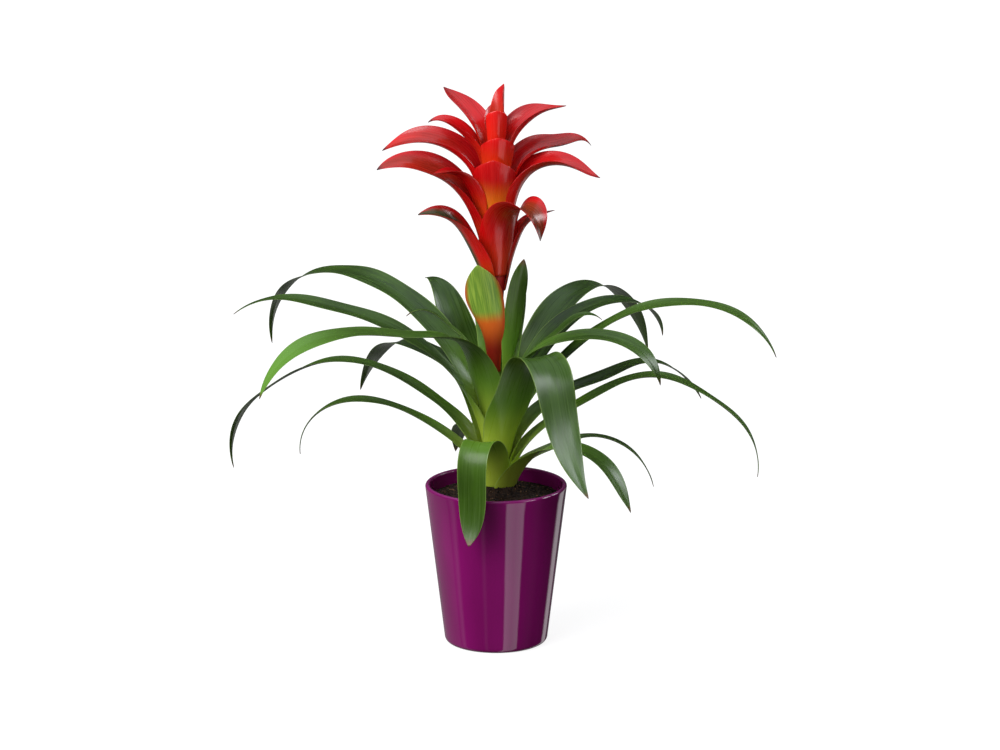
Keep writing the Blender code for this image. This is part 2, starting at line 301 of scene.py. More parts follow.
def inner_radius(height):
    """Radius of the pot's inside wall at a height."""
    share = (height - POT_FOOT_CORNER) / (POT_HEIGHT - POT_FOOT_CORNER)
    return POT_FOOT_RADIUS + (POT_RIM_RADIUS - POT_FOOT_RADIUS) * share - POT_WALL


def pot_rings():
    """Recessed underside, foot, wall, lip, inside wall and floor, as (radius, height)."""
    lip = POT_WALL / 2
    corner = (POT_FOOT_RADIUS - POT_FOOT_CORNER, POT_FOOT_CORNER)
    lip_centre = (POT_RIM_RADIUS - lip, POT_HEIGHT - lip)
    rings = [(FOOT_RECESS_RADIUS, FOOT_RECESS), (FOOT_RECESS_RADIUS + 1, FOOT_RECESS),
             (FOOT_RECESS_RADIUS + 2, 0.0)]
    rings += arc(corner, POT_FOOT_CORNER, -90, -7, 9)
    lip_arc = arc(lip_centre, lip, -6, 180, 15)
    rings += straight(rings[-1], lip_arc[0], WALL_RINGS)[:-1] + lip_arc
    floor_top = POT_FLOOR + FLOOR_CORNER
    floor_corner = (inner_radius(floor_top) - FLOOR_CORNER, floor_top)
    floor_arc = arc(floor_corner, FLOOR_CORNER, 0, -90, 6)
    rings += straight(lip_arc[-1], floor_arc[0], WALL_RINGS)[:-1] + floor_arc
    return rings


def draw_up(rings, sides):
    """Extrude a disc through rings of (radius, height), given in millimetres."""
    radius, height = rings[0]
    shape = begin(bpy.ops.mesh.primitive_circle_add, vertices=sides, radius=radius * MM,
                  fill_type="NGON", location=(0, 0, height * MM))
    bpy.ops.object.transform_apply(location=True)
    bpy.ops.object.mode_set(mode="EDIT")
    bpy.ops.mesh.select_all(action="SELECT")
    for next_radius, next_height in rings[1:]:
        bpy.ops.mesh.extrude_region_move(
            TRANSFORM_OT_translate={"value": (0, 0, (next_height - height) * MM)})
        share = next_radius / radius
        bpy.ops.transform.resize(value=(share, share, 1), center_override=(0, 0, next_height * MM))
        radius, height = next_radius, next_height
    bpy.ops.object.mode_set(mode="OBJECT")
    return shape


def close_foot(shape):
    """Fill the open first ring and turn every face outwards."""
    bpy.ops.object.mode_set(mode="EDIT")
    bpy.ops.mesh.select_all(action="DESELECT")
    bpy.ops.mesh.select_non_manifold()
    bpy.ops.mesh.edge_face_add()
    bpy.ops.mesh.select_all(action="SELECT")
    bpy.ops.mesh.normals_make_consistent(inside=False)
    bpy.ops.object.mode_set(mode="OBJECT")
    bpy.ops.object.shade_smooth_by_angle(angle=math.radians(SHARP_FROM))
    return shape


pot = close_foot(draw_up(pot_rings(), POT_SIDES))
print("pot", len(pot.data.polygons), "faces")

# %% [markdown]
# ## The glaze
#
# Fired glossy glaze is coloured glass over clay, IOR about 1.5 and almost mirror smooth. It
# pools a little as it runs, so its colour drifts from deep to bright purple over centimetres,
# and its surface waves by a few hundredths of a millimetre, which makes the reflections waver.

# %% Glaze
GLAZE_POOL = 45.0
GLAZE_WAVE = 24.0
GLAZE_WAVE_DEPTH = 0.4
GLAZE_RUN = 0.35
LIP_BAND = 1.6

glaze, tree, shader = finish("fired_purple_glaze", Roughness=0.045, IOR=1.5)
place = node(tree, "ShaderNodeTexCoord").outputs["Object"]
drawn = node(tree, "ShaderNodeMapping", None, {0: place, "Scale": (1, 1, GLAZE_RUN)}).outputs[0]
pooled = node(tree, "ShaderNodeTexNoise", None,
              {"Vector": drawn, "Scale": 1 / (GLAZE_POOL * MM), "Detail": 2.0, "Roughness": 0.4})
deep = blend_colours(tree, window(tree, pooled.outputs[0], 0.32, 0.68),
                     colour("#720D56"), colour("#840F65"))
rise = node(tree, "ShaderNodeSeparateXYZ", None, {0: place}).outputs[2]
lip_share = window(tree, rise, (POT_HEIGHT - LIP_BAND) * MM, POT_HEIGHT * MM, 0.0, 0.65)
tree.links.new(blend_colours(tree, lip_share, deep, colour("#84306F")), shader.inputs["Base Color"])
waves = node(tree, "ShaderNodeTexNoise", None,
             {"Vector": drawn, "Scale": 1 / (GLAZE_WAVE * MM), "Detail": 1.0})
ripple = node(tree, "ShaderNodeBump", None,
              {"Strength": 0.35, "Distance": GLAZE_WAVE_DEPTH * MM, "Height": waves.outputs[0]})
tree.links.new(ripple.outputs[0], shader.inputs["Normal"])
finish_piece(pot, "glazed_pot", glaze, "purple_glaze", "pot")

# %% [markdown]
# ## The soil
#
# Peat potting soil is a heap of crumbs and fibres, not a smooth surface. A disc is drawn up to
# the mound's shape and its points are lifted and sunk by fractal noise. Loose crumbs and
# fibres lie on it, each only a few faces, because there are hundreds.

# %% Soil mound
SOIL_EDGE_HEIGHT = 137.0
SOIL_CROWN_RADIUS = 20.0
SOIL_GAP = 0.3
COLLAR_HEIGHT = 5.5
COLLAR_RADIUS = 31.0
COLLAR_SLOPE = 12.0
SOIL_SIDES = 150
SOIL_RINGS = 72
LUMP = 9.0
LUMP_RISE = 1.5
GRAIN = 2.6
GRAIN_RISE = 1.1


def ease(x):
    """0 to 1 with a flat start and a flat end."""
    x = np.clip(x, 0.0, 1.0)
    return x * x * (3.0 - 2.0 * x)


def soil_height(radius):
    """Height of the smooth mound at a distance from the middle."""
    edge = inner_radius(SOIL_EDGE_HEIGHT)
    share = ease((edge - radius) / (edge - SOIL_CROWN_RADIUS))
    collar = COLLAR_HEIGHT * ease((COLLAR_RADIUS - radius) / COLLAR_SLOPE)
    return SOIL_EDGE_HEIGHT + (SOIL_CROWN_HEIGHT - SOIL_EDGE_HEIGHT) * share + collar


def rough(x, y):
    """How far crumbs lift or sink the soil at a place, in millimetres."""
    lumps = noise.fractal(Vector((x / LUMP, y / LUMP, 3.0)), 1.0, 2.0, 3)
    grains = noise.fractal(Vector((x / GRAIN, y / GRAIN, 9.0)), 0.8, 2.0, 3)
    return LUMP_RISE * lumps + GRAIN_RISE * grains


def soil_rings():
    """Sides inside the pot, then the mound's top in rings towards the middle."""
    edge = inner_radius(SOIL_EDGE_HEIGHT) - SOIL_GAP
    foot = POT_FLOOR + 5
    rings = [(inner_radius(foot) - 5, foot - 4), (inner_radius(foot) - SOIL_GAP, foot + 1)]
    rings.append((edge, SOIL_EDGE_HEIGHT - 3))
    rings += [(r, soil_height(r)) for r in np.linspace(edge, 2.0, SOIL_RINGS)]
    return rings


soil = close_foot(draw_up(soil_rings(), SOIL_SIDES))
grit = points_of(soil)
for point in grit:
    reach = math.hypot(point[0], point[1])
    if point[2] > SOIL_EDGE_HEIGHT - 1:
        settle = min(1.0, (inner_radius(SOIL_EDGE_HEIGHT) - reach) / 2)
        point[2] += settle * rough(point[0], point[1])
set_points(soil, grit)

# %% Loose crumbs and fibres
CRUMBS = 900
FIBRES = 150
FIBRE_RADIUS = 0.16
FIBRE_LENGTH = 9.0
SCATTER_FROM = 12.0
SCATTER_TO = 56.5
chance = np.random.default_rng(7)


def scatter(shape, count, sizes, flat, seed_height):
    """Copies of a small closed shape lying on the soil, as points, faces and one shade for each."""
    verts = []
    faces = []
    shades = []
    base = points_of(shape)
    polygons = [tuple(p.vertices) for p in shape.data.polygons]
    for _ in range(count):
        angle = chance.uniform(0, 2 * math.pi)
        reach = math.sqrt(chance.uniform(SCATTER_FROM ** 2, SCATTER_TO ** 2))
        size = chance.uniform(*sizes) * np.array([1, chance.uniform(0.6, 1), chance.uniform(*flat)])
        turn = np.array(Vector((chance.normal(), chance.normal(), 4)).to_track_quat("Z", "Y")
                        .to_matrix())
        spin = chance.uniform(0, 2 * math.pi)
        about = np.array([[math.cos(spin), -math.sin(spin), 0],
                          [math.sin(spin), math.cos(spin), 0], [0, 0, 1]])
        x, y = reach * math.cos(angle), reach * math.sin(angle)
        lift = soil_height(reach) + rough(x, y) + seed_height
        moved = (base * size) @ (turn @ about).T + [x, y, lift]
        faces += [tuple(i + len(verts) for i in p) for p in polygons]
        verts += [tuple(p * MM) for p in moved]
        shades += [(chance.random(), 0, 0)] * len(base)
    return verts, faces, shades


def scattered(shape, name, *details):
    """One object that holds all the copies of a small shape, which is then removed."""
    verts, faces, shades = scatter(shape, *details)
    mesh = bpy.data.meshes.new(name)
    mesh.from_pydata(verts, [], faces)
    made = bpy.data.objects.new(name, mesh)
    bpy.context.scene.collection.objects.link(made)
    set_attribute(made, "shade", shades)
    bpy.data.objects.remove(shape, do_unlink=True)
    return made


crumb = begin(bpy.ops.mesh.primitive_ico_sphere_add, subdivisions=1, radius=MM)
bpy.ops.object.mode_set(mode="EDIT")
bpy.ops.mesh.select_all(action="SELECT")
bpy.ops.transform.vertex_random(offset=0.25 * MM, seed=3)
bpy.ops.object.mode_set(mode="OBJECT")
crumbs = scattered(crumb, "soil_crumbs", CRUMBS, (0.4, 1.5), (0.5, 0.9), 0.2)

fibre = begin(bpy.ops.mesh.primitive_cylinder_add, vertices=4, radius=FIBRE_RADIUS * MM,
              depth=FIBRE_LENGTH * MM, rotation=(0, math.pi / 2, 0))
bpy.ops.object.transform_apply(rotation=True)
bpy.ops.object.mode_set(mode="EDIT")
bpy.ops.mesh.select_all(action="SELECT")
bpy.ops.mesh.subdivide(number_cuts=2)
bpy.ops.transform.vertex_random(offset=0.5 * MM, seed=5)
bpy.ops.mesh.normals_make_consistent(inside=False)
bpy.ops.object.mode_set(mode="OBJECT")
fibres = scattered(fibre, "soil_fibres", FIBRES, (0.4, 1.0), (0.7, 1.0), 0.7)
print("soil", len(soil.data.polygons), "faces,", CRUMBS, "crumbs and", FIBRES, "fibres")

# %% [markdown]
# ## Peat
#
# Moist peat is nearly black brown and quite dull, with lighter bark and root bits. The mound's
# finish is a fine noise with shallow pits. The crumbs and fibres have a finish of their own, in
# which each one has a single shade.

# %% Peat finishes
PEAT_GRAIN = 1.8

peat, tree, shader = finish("moist_peat", Roughness=0.92)
place = node(tree, "ShaderNodeTexCoord").outputs["Object"]
grains = node(tree, "ShaderNodeTexNoise", None,
              {"Vector": place, "Scale": 1 / (PEAT_GRAIN * MM), "Detail": 5.0, "Roughness": 0.65})
brown = blend_colours(tree, window(tree, grains.outputs[0], 0.42, 0.66),
                      colour("#120B08"), colour("#3A2619"))
tree.links.new(brown, shader.inputs["Base Color"])
pits = node(tree, "ShaderNodeBump", None,
            {"Strength": 0.8, "Distance": 0.5 * MM, "Height": grains.outputs[0]})
tree.links.new(pits.outputs[0], shader.inputs["Normal"])
shader.inputs["Specular IOR Level"].default_value = 0.25

bits, tree, shader = finish("peat_crumbs_and_bark", Roughness=0.85)
shade = node(tree, "ShaderNodeAttribute", {"attribute_name": "shade"}).outputs["Vector"]
shade = node(tree, "ShaderNodeSeparateXYZ", None, {0: shade}).outputs[0]
dark = blend_colours(tree, window(tree, shade, 0.1, 0.9), colour("#140C08"), colour("#3D281A"))
light = blend_colours(tree, window(tree, shade, 0.88, 1.0), dark, colour("#8A6A48"))
tree.links.new(light, shader.inputs["Base Color"])
shader.inputs["Specular IOR Level"].default_value = 0.25

finish_piece(soil, "soil_mound", peat, "potting_soil", "soil")
finish_piece(crumbs, "soil_crumbs", bits, "potting_soil", "soil")
finish_piece(fibres, "soil_fibres", bits, "potting_soil", "soil")

# %% [markdown]
# ## The stem
#
# The stem hides behind the leaf feet and the bracts. It swells at the crown, where the leaves
# are set, and again inside the flower head. It is drawn up ring by ring like the pot.

# %% Stem
STEM_PROFILE = (
    (17.0, 144.3), (14.4, 158.0), (11.6, 172.0), (9.2, 186.0), (7.4, 200.0), (6.4, 216.0),
    (6.0, 250.0), (6.0, 312.0), (7.6, 334.0), (9.8, 356.0), (12.0, 380.0), (12.6, 402.0),
    (11.4, 426.0), (8.8, 448.0), (6.2, 464.0), (4.0, 480.0), (2.4, 494.0),
)
STEM_SIDES = 32
STEM_RINGS = 60
STEM_STREAK = 10 / 9
STEM_RED_FROM = 270.0
STEM_RED_TO = 330.0
STEM_RADII = [r for r, _ in STEM_PROFILE]
STEM_HEIGHTS = [z for _, z in STEM_PROFILE]


def stem_radius(height):
    """Radius of the stem at a height."""
    return float(np.interp(height, STEM_HEIGHTS, STEM_RADII))


def stem_rings():
    """The stem's profile at even steps, rounded off at the top."""
    heights = np.linspace(STEM_HEIGHTS[0], STEM_HEIGHTS[-1], STEM_RINGS)
    rings = [(stem_radius(z), z) for z in heights]
    return rings + [(1.6, STEM_HEIGHTS[-1] + 0.6), (0.6, STEM_HEIGHTS[-1] + 0.9)]


stem = close_foot(draw_up(stem_rings(), STEM_SIDES))
stem_skin, tree, shader = finish("green_stem_skin", Roughness=0.5)
place = node(tree, "ShaderNodeTexCoord").outputs["Object"]
lines = node(tree, "ShaderNodeMapping", None, {0: place, "Scale": (1, 1, 0.05)}).outputs[0]
streaks = node(tree, "ShaderNodeTexNoise", None,
               {"Vector": lines, "Scale": 1 / (STEM_STREAK * MM), "Detail": 2.0})
rise = node(tree, "ShaderNodeSeparateXYZ", None, {0: place}).outputs[2]
green = blend_colours(tree, streaks.outputs[0], colour("#56702A"), colour("#8FA447"))
reddened = window(tree, rise, STEM_RED_FROM * MM, STEM_RED_TO * MM)
tree.links.new(blend_colours(tree, reddened, green, colour("#B01814")), shader.inputs["Base Color"])
finish_piece(stem, "stem", stem_skin, "stem_green", "flower_stem")

# %% [markdown]
# ## How a leaf is shaped
#
# A strap leaf is one long blade: it clasps the stem with a rolled foot, rises, arches over
# under its own weight and ends in a drawn-out point. It is channelled along its midrib, its
# margins wave, and it is thickest along the middle. A curve with a bevel could follow the arch,
# but not the clasp, the roll and the width together. So a flat grid is added, and each of its
# points is carried to its place by a rule: how far along the midrib, and how far across.

# %% The rule for one blade
FOOT_GAP = 0.6
FINE = 900
TIP_POWER = 1.05
CLASP_OVER = 1.3
SHEATH_AT = 0.75
SHEATH_SPREAD = 0.4
GROOVE_WIDTH = 1.6
RIB_SPACING = 3.4
WAVE_SHIFT = 2.1
SMOOTH_FOOT = 0.25
SMOOTH_TIP = 0.1
UNROLL_FROM = 0.35
UNROLL_OVER = 0.9


def through(values, t):
    """A smooth curve through evenly spaced values, read at t from 0 to 1."""
    v = np.asarray(values, float)
    last = len(v) - 1
    x = np.clip(t, 0.0, 1.0) * last
    i = np.minimum(x.astype(int), last - 1)
    f = x - i
    ext = np.concatenate([[2 * v[0] - v[1]], v, [2 * v[-1] - v[-2]]])
    a, b, c, d = ext[i], ext[i + 1], ext[i + 2], ext[i + 3]
    return b + 0.5 * f * (c - a + f * (2 * a - 5 * b + 4 * c - d + f * (3 * (b - c) + d - a)))


def midrib(spec, t):
    """Places, side vectors and upward vectors on the midrib at shares t of its length."""
    fine = np.linspace(0.0, 1.0, FINE)
    lean = np.radians(through(spec["leans"], fine))
    head = np.radians(through(spec["heads"], fine))
    along = np.stack([np.sin(lean) * np.cos(head), np.sin(lean) * np.sin(head), np.cos(lean)], 1)
    foot = stem_radius(spec["rise"]) + FOOT_GAP
    path = np.zeros((FINE, 3))
    path[0] = (foot * math.cos(head[0]), foot * math.sin(head[0]), spec["rise"])
    path[1:] = path[0] + np.cumsum((along[1:] + along[:-1]) / 2 * spec["length"] / (FINE - 1), 0)
    place = np.stack([np.interp(t, fine, path[:, k]) for k in range(3)], 1)
    ahead = np.stack([np.interp(t, fine, along[:, k]) for k in range(3)], 1)
    heading = np.interp(t, fine, head)
    side = np.stack([-np.sin(heading), np.cos(heading), np.zeros(len(t))], 1)
    upper = np.cross(ahead, side)
    roll = np.radians(through(spec["twist"], t))[:, None]
    turned_side = side * np.cos(roll) + upper * np.sin(roll)
    turned_upper = upper * np.cos(roll) - side * np.sin(roll)
    return place, turned_side, turned_upper


def half_width(spec, t):
    """Half of the blade's width: wide or narrow where it clasps, drawn out at its tip."""
    start = spec["taper"]
    gone = np.clip((t - start) / (1.0 - start), 0.0, 1.0)
    body = spec["width"] / 2 * (1.0 - gone ** spec["full"]) ** TIP_POWER
    run = t * spec["length"] / spec["hold"]
    clasp = 1.0 - ease(run / CLASP_OVER)
    sheath = spec["sheath"] * np.exp(-((run - SHEATH_AT) / SHEATH_SPREAD) ** 2)
    return body + (spec["clasp"] - spec["width"] / 2) * clasp + sheath


def blade_points(spec, v, t):
    """Places in millimetres for points at v across (-1 to 1) and t along (0 to 1)."""
    place, side, upper = midrib(spec, t)
    half = half_width(spec, t)
    u = v * half
    run = t * spec["length"]
    k = spec["cup"] * (1 - 0.5 * t) / (spec["width"] / 2)
    phase = run / spec["ripple"] + WAVE_SHIFT * v + spec["seed"]
    wave = spec["wave"] * np.abs(v) ** 3 * np.sin(phase)
    groove = -spec["groove"] * np.exp(-(u / GROOVE_WIDTH) ** 2)
    ribs = spec["ribs"] * np.cos(2 * math.pi * u / RIB_SPACING) * (1 - np.abs(v))
    relief = (wave + groove + ribs) * ease(t / SMOOTH_FOOT) * ease((1 - t) / SMOOTH_TIP)
    lift = (1 - np.cos(k * u)) / k + relief
    flat = place + side * (np.sin(k * u) / k)[:, None] + upper * lift[:, None]
    reach = np.hypot(place[:, 0], place[:, 1])
    angle = np.arctan2(place[:, 1], place[:, 0]) + u / reach
    rolled = np.stack([reach * np.cos(angle), reach * np.sin(angle), place[:, 2]], 1)
    unrolled = ease((run - UNROLL_FROM * spec["hold"]) / (UNROLL_OVER * spec["hold"]))
    clasp = (1.0 - unrolled)[:, None]
    return clasp * rolled + (1 - clasp) * flat


# %% [markdown]
# ## Making a blade
#
# The grid gives an even sheet with a UV map. Four notes are stored at its points for the finish
# to read: where a point lies on the flat sheet, how near it is to the foot, tip and margin,
# which side it is on with the blade's own tone and warmth, and how dry the blade's tip is and
# how deep its colour. Solidify then thickens the sheet downwards, most along the middle, and
# one Subdivision Surface rounds the margins.

# %% Grid, thickness and rounding
THIN_MARGIN = 0.3
THICK_POWER = 2.4
WELD = 0.02


def sheet_of(spec, columns, rows):
    """A grid carried to the blade's shape, with the notes for its finish."""
    shape = begin(bpy.ops.mesh.primitive_grid_add, x_subdivisions=columns, y_subdivisions=rows,
                  size=2, calc_uvs=True)
    flat = points_of(shape) * MM
    v = -flat[:, 0]
    t = np.clip((flat[:, 1] + 1) / 2, 0, 1)
    set_points(shape, blade_points(spec, v, t))
    run = t * spec["length"]
    aside = np.full(len(t), spec["seed"] * 0.1)
    sheet = np.stack([v * half_width(spec, t) * MM, run * MM, aside], 1)
    zone = np.stack([run / 100, (1 - t) * spec["length"] / 100, np.abs(v)], 1)
    set_attribute(shape, "sheet", sheet)
    set_attribute(shape, "zone", zone)
    group = shape.vertex_groups.new(name="thick")
    for i, share in enumerate(1 - np.abs(v) ** THICK_POWER):
        group.add([i], float(share * (1 - 0.5 * t[i])), "REPLACE")
    return shape


def thicken(shape, thickness):
    """Give the sheet its thickness on the lower side and note which side a point is on."""
    bpy.ops.object.mode_set(mode="EDIT")
    bpy.ops.mesh.select_all(action="SELECT")
    bpy.ops.mesh.remove_doubles(threshold=WELD * MM)
    bpy.ops.object.mode_set(mode="OBJECT")
    upper_points = len(shape.data.vertices)
    solid = shape.modifiers.new("solid", "SOLIDIFY")
    solid.thickness = thickness * MM
    solid.offset = -1
    solid.vertex_group = "thick"
    solid.thickness_vertex_group = THIN_MARGIN
    apply_all(shape)
    return np.arange(len(shape.data.vertices)) >= upper_points


def blade(name, spec, columns, rows, thickness):
    """One finished leaf or bract, at its place."""
    shape = sheet_of(spec, columns, rows)
    under = thicken(shape, thickness)
    set_attribute(shape, "side", [(float(low), spec["tone"], spec["warm"]) for low in under])
    set_attribute(shape, "age", [(spec["dry"], spec["deep"], 0.0)] * len(under))
    round_off = shape.modifiers.new("round", "SUBSURF")
    round_off.levels = 1
    round_off.render_levels = 1
    apply_all(shape)
    shape.vertex_groups.clear()
    bpy.ops.object.shade_smooth()
    shape.name = name
    return shape


# %% [markdown]
# ## The plan of the leaves
#
# Each leaf has its foot height on the stem, its length and width, how far it leans from upright
# at its foot, at each fifth of its length and at its tip, and its compass headings at foot,
# middle and tip (0 right, 90 back, 180 left). Upper leaves are set inside the lower ones.

# %% Leaves
LEAF_HOLD = 62.0
BRACT_HOLD = 30.0
LEAF_THICKNESS = 1.1
BRACT_THICKNESS = 0.9


def plan(rise, length, width, leans, heads, twist=(0, 0, 0), clasp=10.0, cup=0.35,
         hold=LEAF_HOLD, taper=0.45, tone=0.3, warm=0.0, wave=0.7, ripple=13.0, groove=0.35,
         ribs=0.05, full=3.2, sheath=0.0, dry=0.3, deep=0.0):
    """The sizes of one blade in millimetres and degrees; tone, warm, dry and deep colour it.

    A sheath widens its foot, and the higher full is, the longer it stays wide towards its tip.
    """
    return dict(rise=rise, length=length, width=width, leans=leans, heads=heads, twist=twist,
                clasp=clasp, cup=cup, hold=hold, taper=taper, tone=tone, warm=warm, wave=wave,
                ripple=ripple, groove=groove, ribs=ribs, full=full, sheath=sheath,
                dry=dry, deep=deep, seed=(rise * 7 + length * 3) % 50)


LEAVES = {
    "leaf_inner_front": plan(214, 150, 21, (4, 6, 7, 7, 9, 14), (-16, -18, -20), (0, -32, -56), 7,
        0.5, taper=0.6, tone=0.6, full=4.0),
    "leaf_inner_left": plan(211, 146, 18, (4, 5, 27, 48, 56, 138), (168, 186, 192), clasp=7),
    "leaf_inner_back": plan(208, 141, 22, (5, 12, 12, 9, 6, 4), (30, 30, 30), clasp=8),
    "leaf_left_third": plan(188, 345, 36, (6, 18, 78, 80, 108, 164), (238, 212, 206), (0, 0, -10),
        13, tone=0.55, warm=1.0, sheath=4.0),
    "leaf_right_third": plan(201, 226, 30, (6, 17, 60, 84, 118, 174), (-10, -15, -20), (0, 5, 18),
        11, tone=0.25),
    "leaf_back_tall": plan(198, 190, 26, (5, 14, 34, 62, 96, 140), (98, 98, 100), clasp=8),
    "leaf_right_sliver": plan(195, 160, 20, (5, 12, 33, 50, 56, 140), (15, 12, 10), clasp=8),
    "leaf_left_high": plan(182, 306, 28, (9, 30, 54, 73, 84, 131), (206, 176, 178), (0, -10, 0),
        10, tone=0.2),
    "leaf_right_second": plan(189, 252, 34, (6, 31, 44, 74, 107, 180), (35, 30, 20), clasp=11,
        tone=0.05),
    "leaf_left_top": plan(187, 403, 31, (7, 42, 68, 91, 122, 194), (140, 135, 140), (0, -6, -8), 8,
        tone=0.15),
    "leaf_right_top": plan(183, 311, 36, (7, 37, 48, 86, 136, 168), (53, 50, 34), clasp=11,
        tone=0.12),
    "leaf_left_broad": plan(179, 203, 36, (8, 31, 48, 45, 45, 116), (114, 116, 124), clasp=10,
        tone=0.1),
    "leaf_right_high": plan(177, 336, 27, (8, 38, 53, 79, 110, 161), (12, 5, -10), (0, 0, 12), 13,
        tone=0.5),
    "leaf_front_right": plan(173, 280, 42, (10, 25, 44, 154, 152, 132), (-60, -60, -50), clasp=21,
        tone=0.3, sheath=3.0),
    "leaf_left_hidden": plan(170, 287, 30, (9, 38, 84, 88, 128, 161), (120, 125, 130), clasp=14,
        tone=0.0),
    "leaf_right_fourth": plan(167, 251, 25, (8, 48, 76, 74, 119, 153), (25, 25, 25), clasp=15,
        tone=0.2),
    "leaf_front_left": plan(150, 180, 28, (14, 34, 80, 174, 176, 150), (-101, -108, -112),
        (0, 0, 0), 18, taper=0.6, tone=0.35, sheath=2.0, full=4.0),
    "leaf_left_fourth": plan(161, 350, 21, (10, 51, 73, 113, 138, 198), (165, 165, 165),
        (0, 0, 14), 18, tone=0.35, sheath=3.0),
    "leaf_right_fifth": plan(159, 320, 25, (14, 57, 65, 113, 136, 190), (5, 5, 5), (0, 0, 8), 18,
        tone=0.45),
    "leaf_back_low": plan(157, 190, 24, (12, 44, 72, 100, 130, 160), (93, 93, 93), clasp=14),
    "leaf_left_fifth": plan(153, 228, 21, (12, 54, 65, 89, 130, 189), (164, 175, 175), clasp=13,
        tone=0.4),
    "leaf_right_sixth": plan(147, 174, 30, (18, 46, 75, 109, 143, 158), (-40, -28, -30), clasp=18,
        tone=0.4),
    "leaf_back_left_low": plan(151, 140, 22, (14, 50, 78, 105, 135, 160), (110, 108, 106),
        clasp=10),
    "leaf_right_seventh": plan(149, 178, 17, (22, 73, 74, 107, 137, 170), (38, 12, 6), clasp=8,
        tone=0.35),
    "leaf_back_right_low": plan(149, 136, 22, (16, 52, 80, 108, 138, 160), (93, 90, 88), clasp=8),
}

# %% [markdown]
# ## The plan of the bracts
#
# A bract is a coloured leaf: shorter, deeply channelled, glossy and fleshy. Those of the flower
# head stand in rings up the stem. The outer ones arch out, the innermost stand up as a bud.

# %% Bracts
def bract(rise, length, width, leans, heads, clasp=14.0, cup=1.6, hold=BRACT_HOLD, taper=0.45,
          twist=(0, 0, 0), tone=0.1, warm=0.08, dry=0.4, deep=0.3, sheath=0.0, full=2.5):
    """One bract: a short, strongly channelled blade."""
    return plan(rise, length, width, leans, heads, twist, clasp, cup, hold, taper, tone, warm,
                0.5, 9.0, 0.5, 0.08, full, sheath, dry, deep)


BRACTS = {
    "bract_green_front": bract(256, 106, 36, (5, 8, 11, 13, 15, 16), (-122, -130, -134), 8, 1.0,
        60, 0.6, (20, 38, 38), sheath=3.0, full=3.0),
    "bract_lower_left": bract(324, 117, 44, (8, 21, 26, 34, 66, 108), (196, 198, 196), 10, 1.4,
        twist=(0, -10, -14), tone=1.0, warm=0.25, deep=0.1),
    "bract_lower_right": bract(331, 94, 24, (12, 13, 19, 28, 66, 82), (15, 15, 15), 7, 1.5,
        tone=0.8, deep=0.6),
    "bract_lower_back": bract(339, 104, 30, (9, 14, 26, 46, 78, 112), (102, 100, 99), 7),
    "bract_front_curled": bract(346, 122, 48, (11, 12, 22, 60, 140, 190), (-68, -52, -20), 16, 1.3,
        tone=0.6, warm=0.10, dry=0.8, deep=0.25),
    "bract_left_large": bract(361, 153, 40, (11, 18, 32, 58, 80, 126), (188, 190, 190), 12, 1.4,
        twist=(0, -24, -30), tone=0.3, warm=0.2, dry=1.0, deep=0.5),
    "bract_back_large": bract(369, 134, 36, (9, 14, 34, 68, 98, 128), (78, 76, 76), 13),
    "bract_front_left_cup": bract(386, 90, 29, (13, 18, 24, 42, 78, 94), (-154, -150, -144), 8,
        tone=0.2, warm=0.2),
    "bract_right_large": bract(388, 124, 40, (10, 13, 38, 78, 110, 114), (-3, -4, -5), 12, 1.4,
        twist=(0, 6, 10), tone=0.1, dry=0.7),
    "bract_front_tall": bract(394, 63, 44, (8, 10, 12, 14, 10, 4), (-95, -95, -95), 14, 1.35,
        taper=0.6, warm=0.8, deep=0.5, dry=0.0, full=3.5),
    "bract_left_second": bract(404, 134, 38, (8, 15, 47, 74, 102, 126), (172, 171, 171), 13, 1.4,
        twist=(0, -14, -24), tone=0.2, dry=1.0),
    "bract_right_second": bract(411, 120, 32, (7, 18, 60, 86, 80, 150), (29, 29, 26), 10, 1.4,
        twist=(0, 10, 16), tone=0.2, dry=1.0),
    "bract_back_second": bract(421, 104, 22, (7, 12, 36, 68, 98, 124), (102, 101, 101), 6, 1.4),
    "bract_front_short": bract(428, 48, 36, (8, 9, 10, 12, 8, 0), (-84, -84, -84), 12, 1.35,
        taper=0.6, warm=0.18, deep=0.0, dry=0.0, full=4.0),
    "bract_left_curled": bract(436, 82, 31, (7, 18, 38, 48, 66, 130), (184, 184, 184), 9, 1.4,
        twist=(0, -6, -10), dry=1.0),
    "bract_right_top": bract(441, 92, 40, (7, 12, 40, 58, 80, 86), (22, 24, 24), 10, 1.4, dry=0.5),
    "bract_left_top": bract(446, 87, 34, (7, 15, 36, 48, 54, 58), (143, 143, 143), 9, 1.3, dry=0.5),
    "bract_back_top": bract(452, 54, 24, (4, 8, 16, 30, 46, 60), (92, 94, 96), 6, 1.3),
    "bract_bud_sheath": bract(456, 42, 23, (2, 3, 2, 0, -2, -4), (-84, -84, -84), 8, 1.7, 16, 0.7,
        warm=0.05, deep=0.0, dry=0.0, full=5.0),
    "bract_bud": bract(472, 48, 22, (3, 6, 8, 8, 6, 2), (60, 40, 10), 4, 1.6, 16, 0.6, warm=0.1,
        deep=0.1, dry=0.0, full=4.5),
}

# %% [markdown]
# ## Leaf skin
#
# A leaf is covered in a thin wax, which gives a soft sheen: IOR about 1.4, and a roughness from
# 0.26 to 0.40 across its veins. These run side by side along the whole blade, a little over a
# millimetre apart. The foot is pale yellow-green, the blade dark and the very tip dry and brown.
# The pale line along the margin is a painted highlight, for the light that the rounded edge
# catches. A warm leaf stays a brighter green towards its end.

# %% Leaf finish
VEIN_SPACING = 1.3
VEIN_LENGTH = 60.0
BLOTCH = 38.0
LEAF_VEIN_DEPTH = 0.25
BRACT_VEIN_DEPTH = 0.2
LEAF_GRID = (12, 46)
BRACT_GRID = (14, 36)


